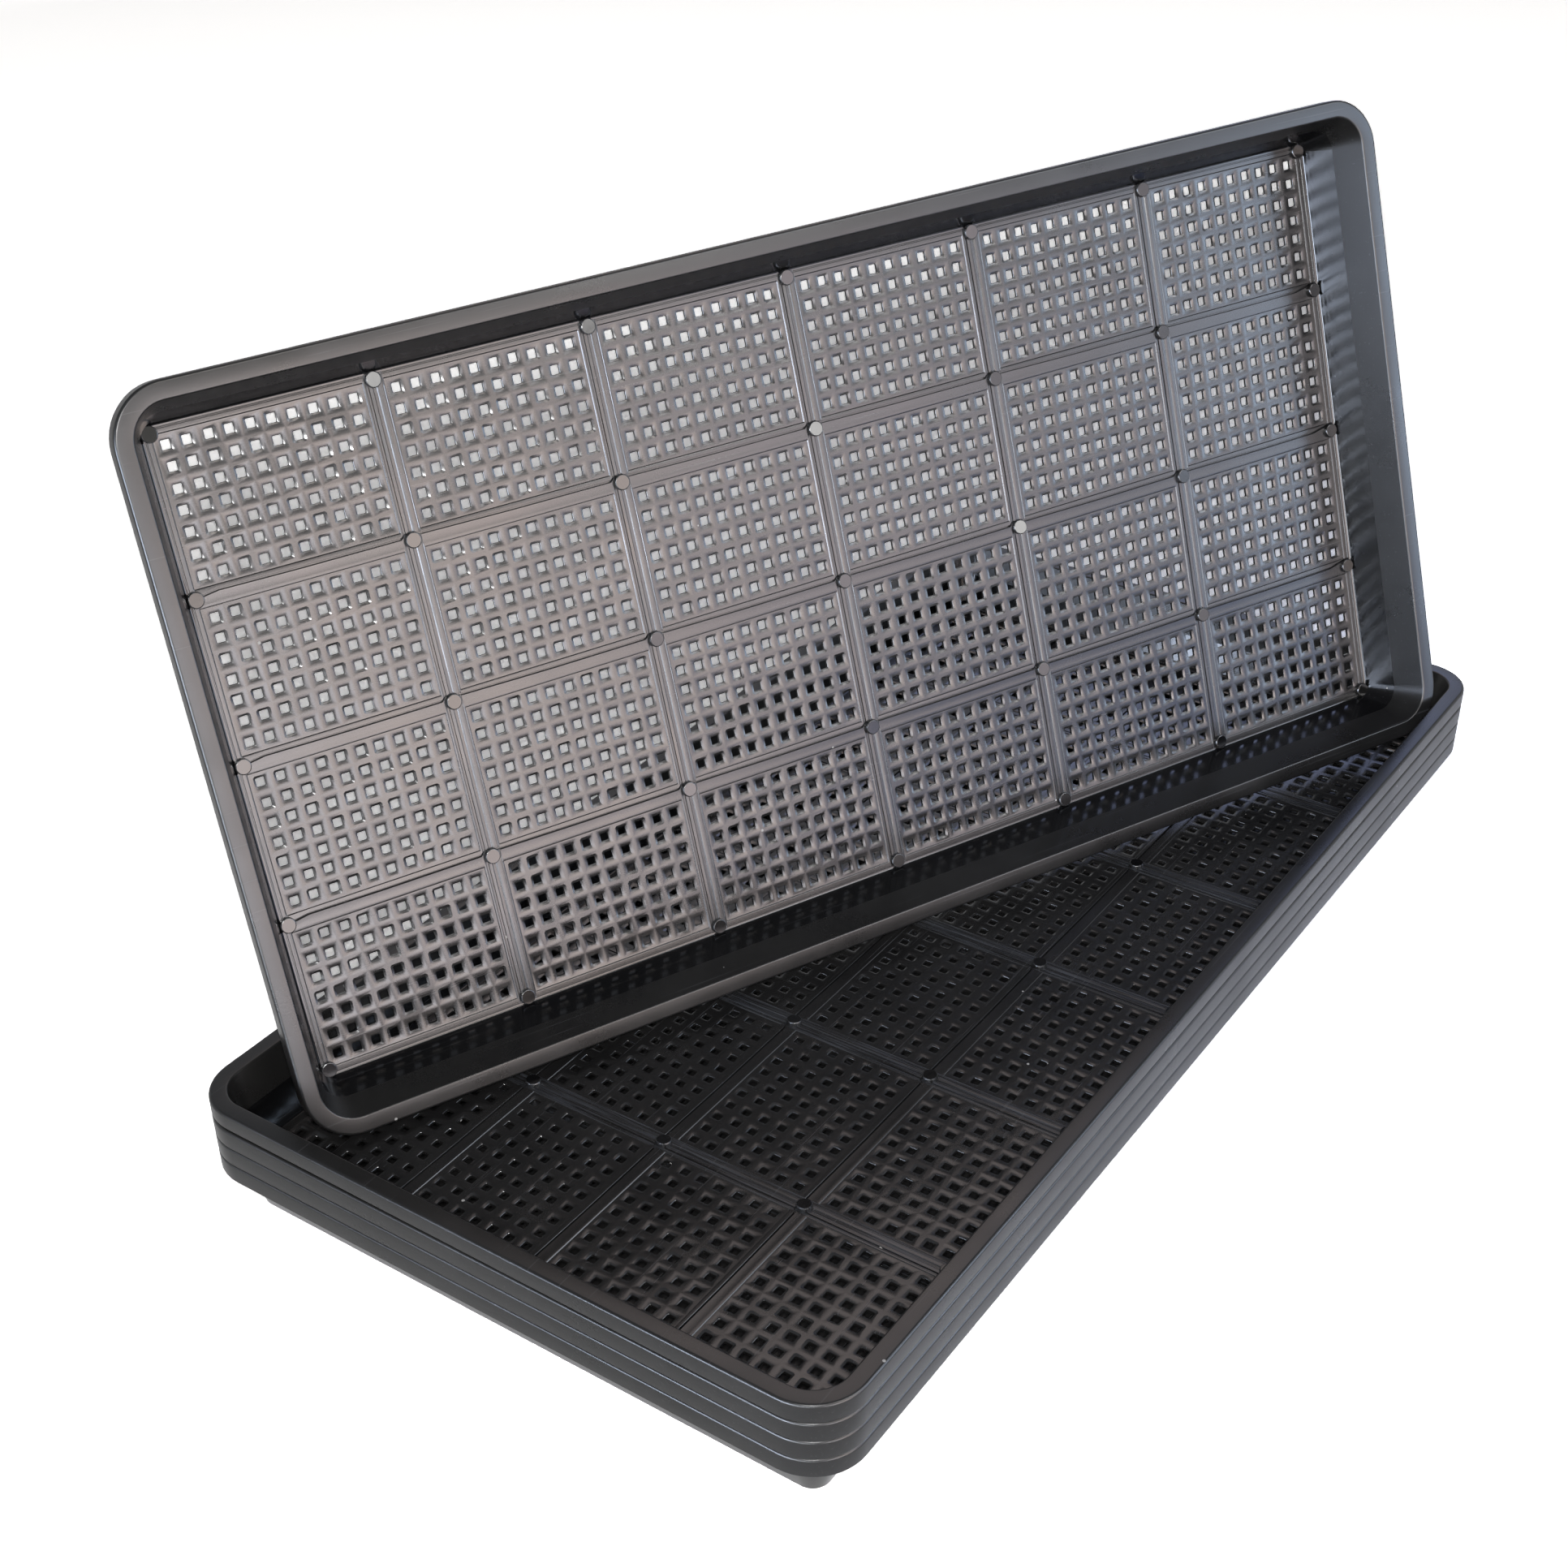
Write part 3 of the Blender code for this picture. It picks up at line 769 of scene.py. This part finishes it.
def tray_finishes():
    """The plastics of the floor, the walls and the rim, in the order of their numbers."""
    floor = plastic("mesh_floor_plastic", dark=(0.008, 0.0078, 0.0078), light=(0.012, 0.0115, 0.0112),
                    roughness=0.25, unevenness=0.04, grain=1400.0, grain_height=0.00002,
                    scratched=0.15, gloss=0.5, streaked_and_highlighted=True)
    wall = plastic("glossy_wall_plastic", dark=(0.003, 0.003, 0.0033), light=(0.005, 0.0049, 0.0051),
                   roughness=0.14, unevenness=0.03, grain=500.0, grain_height=0.00001,
                   scratched=0.10, gloss=0.45)
    rim = plastic("rim_plastic", dark=(0.0075, 0.0073, 0.0071), light=(0.012, 0.0116, 0.0112),
                  roughness=0.30, unevenness=0.05, grain=1100.0, grain_height=0.00002,
                  scratched=0.15, gloss=0.38)
    return floor, wall, rim


def standing_place():
    """The standing tray's matrix: its turn is known, and the solid's box in that turn gives its place."""
    turn = Euler(STANDING_TURN, "XYZ").to_matrix()
    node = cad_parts["standing_tray"]
    solid = np.array([turn.transposed() @ vertex.co for vertex in node.data.vertices])
    low = solid.min(0)
    centre = (low + solid.max(0)) / 2
    place = turn @ Vector((centre[0], centre[1], low[2]))
    return Matrix.Translation(place) @ turn.to_4x4()


def place_tray(name, body, mesh, finishes, matrix):
    """A copy of the tray in its place. Its points are moved, so that its box is as tight as the solid's."""
    tray = bpy.data.objects.new(name + "_detailed", mesh.copy())
    bpy.context.scene.collection.objects.link(tray)
    for finish in finishes:
        tray.data.materials.append(finish)
    tray.data.transform(matrix)
    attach(tray, body)
    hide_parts(name)


def add_trays():
    mesh = tray_mesh()
    top_mesh = tray_mesh(skirt_lifted=True)
    finishes = tray_finishes()
    for name, body in NESTED_TRAYS:
        low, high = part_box(name)
        matrix = Matrix.Translation(((low.x + high.x) / 2, (low.y + high.y) / 2, low.z))
        place_tray(name, body, top_mesh if name == "fourth_tray" else mesh, finishes, matrix)
    place_tray("standing_tray", "standing", mesh, finishes, standing_place())


# Studio: a pale ground, soft lamps and the camera at the photograph's angle.
CAMERA_PLACE = (-0.6502, -0.3824, 0.5603)
CAMERA_TURN = (55.376, 1.448, -54.558)
CAMERA_LENS = 51.34
CAMERA_SENSOR = 36.0
CAMERA_SHIFT = (0.0428, 0.0665)
CAMERA_CLIP = 0.01
# The ground lies a hair below the trays.
GROUND_HEIGHT = -0.0003
GROUND_RADIUS = 12.0
GROUND_SIDES = 64
GROUND_COLOUR = (0.80, 0.80, 0.80)
# The ground is whiter where a reflection or a see-through part looks at it, and whitest for the camera.
GROUND_REFLECTED_COLOUR = (1.05, 1.05, 1.05)
GROUND_SEEN_COLOUR = (2.72, 2.69, 2.65)
# Far from the trays the ground that the camera sees goes over into the white of the background.
GROUND_WHITE_FROM = 1.9
GROUND_WHITE_TO = 3.0
# Faint clouds shade it down to this share.
GROUND_CLOUD_SCALE = 3.0
GROUND_SHADE = (0.985, 0.985, 0.985)
GROUND_ROUGHNESS = 0.7
GROUND_GLOSS = 0.2
STUDIO_MIDDLE = (0.0, 0.0, 0.15)
SKY_LOW = WHITE
SKY_HIGH = (0.32, 0.34, 0.38)
SKY_HIGH_FROM = 0.6
# The sky is dimmer for what matt surfaces scatter, so that shadows stay deep beside a white background.
SKY_SCATTERED = (0.35, 0.331, 0.308)
# The key lamp is beside the camera, so that the shadow falls behind the trays. Its light doesn't fade with
# distance, so that the ground is as white far behind them as in front.
KEY_PLACE = (-0.69, -0.41, 0.62)
KEY_RADIUS = 0.07
KEY_POWER = 39.0
# A bluish lamp over the ground in front of the stack shines straight down. Reflections don't see it, only
# the ground that it lights, which the long skirts mirror.
GROUND_LAMP_PLACE = (0.10, -0.27, 0.35)
GROUND_LAMP_SIZE = (0.55, 0.15)
GROUND_LAMP_POWER = 0.5
GROUND_LAMP_COLOUR = (0.46, 0.58, 1.0)
# Panels that only reflections see, which leaves the ground to the other two lamps and the sky.
# Name, place, where it faces, width, height, watts for each square metre, and colour.
LAMPS = (
    ("soft_left", (-0.96, -1.60, 0.36), (-0.3, 0.0, 0.20), 0.68, 0.68, 38.0, (0.97, 0.93, 0.98)),
    ("soft_middle", (-0.385, -1.60, 0.42), (-0.2, 0.0, 0.30), 0.47, 0.56, 30.0, (1.0, 0.84, 0.77)),
    ("soft_right", (0.075, -1.60, 0.46), (0.075, 0.0, 0.46), 0.45, 0.48, 18.0, (1.0, 0.88, 0.93)),
    ("soft_end", (0.435, -1.60, 0.46), (0.435, 0.0, 0.46), 0.27, 0.48, 9.0, (1.0, 0.92, 1.0)),
    ("side_window", (0.98, -1.60, 0.42), (0.98, 0.0, 0.42), 0.70, 0.76, 26.0, (0.62, 0.77, 1.0)),
    ("low_left", (-0.31, -1.60, 0.07), (-0.31, 0.0, 0.07), 0.60, 0.14, 29.0, (1.0, 0.88, 0.94)),
    ("low_right", (0.64, -1.60, 0.07), (0.64, 0.0, 0.07), 1.28, 0.14, 9.5, (0.36, 0.50, 1.0)),
    ("ledge_left", (-0.39, -1.60, 2.00), (-0.20, 0.12, 0.20), 0.60, 0.60, 38.0, (1.0, 0.93, 0.87)),
    ("ledge_middle", (0.30, -1.60, 1.58), (0.0, 0.02, 0.16), 0.60, 0.60, 32.0, (0.96, 0.96, 1.0)),
    ("ledge_right", (0.86, -1.60, 1.29), (0.20, -0.08, 0.16), 0.55, 0.60, 30.0, (0.80, 0.88, 1.0)),
    ("left_low", (-1.65, -0.38, 0.17), (0.0, 0.0, 0.16), 1.20, 0.33, 60.0, (0.90, 0.94, 1.0)),
    ("glint", (0.0, -1.60, 0.95), STUDIO_MIDDLE, 0.26, 0.26, 46.0, (1.0, 0.99, 0.98)),
    ("high_window", (-0.20, -1.60, 0.98), (-0.1, 0.0, 0.20), 1.40, 0.46, 2.0, (1.0, 0.93, 0.75)),
    ("left_window", (-1.80, 0.30, 0.33), (0.2, 0.0, 0.15), 0.90, 0.55, 95.0, (0.70, 0.80, 1.0)),
    ("back_ceiling", (0.75, 0.55, 1.35), STUDIO_MIDDLE, 0.80, 0.80, 6.0, (1.0, 0.84, 0.79)),
    ("back_window", (1.40, 0.35, 0.95), STUDIO_MIDDLE, 0.60, 0.50, 7.0, (0.48, 0.58, 1.0)),
)


def add_camera():
    camera = bpy.data.cameras.new("camera")
    camera.lens = CAMERA_LENS
    camera.sensor_width = CAMERA_SENSOR
    camera.shift_x, camera.shift_y = CAMERA_SHIFT
    camera.clip_start = CAMERA_CLIP
    placed = bpy.data.objects.new("camera", camera)
    bpy.context.scene.collection.objects.link(placed)
    placed.location = CAMERA_PLACE
    placed.rotation_euler = [math.radians(angle) for angle in CAMERA_TURN]
    bpy.context.scene.camera = placed


def area_lamp(name, width, height, watts, colour):
    lamp = bpy.data.lights.new(name, "AREA")
    lamp.shape = "RECTANGLE"
    lamp.size = width
    lamp.size_y = height
    lamp.energy = watts
    lamp.color = colour
    return lamp


def place_lamp(lamp, place, target=None):
    """A lamp that the camera doesn't see. It faces its target, or straight down if it has none."""
    placed = bpy.data.objects.new(lamp.name, lamp)
    bpy.context.scene.collection.objects.link(placed)
    placed.location = place
    if target:
        way = Vector(target) - Vector(place)
        placed.rotation_euler = way.to_track_quat("-Z", "Y").to_euler()
    placed.visible_camera = False
    return placed


def add_reflected_lamps():
    for name, place, target, width, height, brightness, colour in LAMPS:
        lamp = area_lamp(name, width, height, brightness * width * height, colour)
        place_lamp(lamp, place, target).visible_diffuse = False


def add_key_lamp():
    lamp = bpy.data.lights.new("key", "POINT")
    lamp.shadow_soft_size = KEY_RADIUS
    lamp.energy = KEY_POWER
    nodes = Nodes(lamp, "Emission")
    steady = nodes.add("ShaderNodeLightFalloff", Strength=1.0).outputs["Constant"]
    nodes.feed(nodes.shader.inputs["Strength"], steady)
    place_lamp(lamp, KEY_PLACE)


def add_ground_lamp():
    lamp = area_lamp("floor_lamp", *GROUND_LAMP_SIZE, GROUND_LAMP_POWER, GROUND_LAMP_COLOUR)
    place_lamp(lamp, GROUND_LAMP_PLACE).visible_glossy = False


def ground_material():
    material = bpy.data.materials.new("studio_floor")
    nodes = Nodes(material, "Principled BSDF")
    place = nodes.add("ShaderNodeTexCoord").outputs["Object"]
    path = nodes.add("ShaderNodeLightPath").outputs
    reflected = nodes.math("MAXIMUM", path["Is Glossy Ray"], path["Is Transmission Ray"])
    colour = nodes.mix_colour(reflected, GROUND_COLOUR, GROUND_REFLECTED_COLOUR)
    colour = nodes.mix_colour(path["Is Camera Ray"], colour, GROUND_SEEN_COLOUR)
    shade = nodes.mix_colour(nodes.noise(place, GROUND_CLOUD_SCALE, 3.0), GROUND_SHADE, WHITE)
    nodes.feed(nodes.shader.inputs["Base Color"], nodes.mix_colour(1.0, colour, shade, "MULTIPLY"))
    away = nodes.add("ShaderNodeVectorMath", {"operation": "LENGTH"}, Vector=place).outputs["Value"]
    white = nodes.ramp(away, GROUND_WHITE_FROM, GROUND_WHITE_TO, 0.0, 1.0)
    white = nodes.math("MULTIPLY", white, path["Is Camera Ray"])
    nodes.feed(nodes.shader.inputs["Emission Strength"], white)
    nodes.shader.inputs["Emission Color"].default_value = (*WHITE, 1.0)
    nodes.shader.inputs["Roughness"].default_value = GROUND_ROUGHNESS
    nodes.shader.inputs["Specular IOR Level"].default_value = GROUND_GLOSS
    return material


def add_ground():
    corners = []
    for side in range(GROUND_SIDES):
        angle = 2 * math.pi * side / GROUND_SIDES
        corners.append((GROUND_RADIUS * math.cos(angle), GROUND_RADIUS * math.sin(angle), GROUND_HEIGHT))
    mesh = bpy.data.meshes.new("studio_floor")
    mesh.from_pydata(corners, [], [tuple(range(GROUND_SIDES))])
    mesh.materials.append(ground_material())
    floor = bpy.data.objects.new("studio_floor", mesh)
    bpy.context.scene.collection.objects.link(floor)


def set_world():
    """A pale sky: white at the horizon and dimmer overhead."""
    world = bpy.data.worlds.new("studio")
    bpy.context.scene.world = world
    nodes = Nodes(world, "Background")
    place = nodes.add("ShaderNodeTexCoord").outputs["Generated"]
    height = nodes.add("ShaderNodeSeparateXYZ", Vector=place).outputs["Z"]
    sky = nodes.add("ShaderNodeValToRGB", Fac=height)
    low, high = sky.color_ramp.elements
    low.color = (*SKY_LOW, 1.0)
    high.color = (*SKY_HIGH, 1.0)
    high.position = SKY_HIGH_FROM
    path = nodes.add("ShaderNodeLightPath").outputs
    seen = nodes.math("MAXIMUM", path["Is Camera Ray"], path["Is Glossy Ray"])
    seen = nodes.math("MAXIMUM", seen, path["Is Transmission Ray"])
    share = nodes.mix_colour(seen, SKY_SCATTERED, WHITE)
    light = nodes.mix_colour(1.0, sky.outputs["Color"], share, "MULTIPLY")
    nodes.feed(nodes.shader.inputs["Color"], light)


bpy.context.scene.view_settings.view_transform = "Standard"
add_camera()
set_world()
add_reflected_lamps()
add_key_lamp()
add_ground_lamp()
add_ground()
add_trays()
bpy.context.view_layer.update()
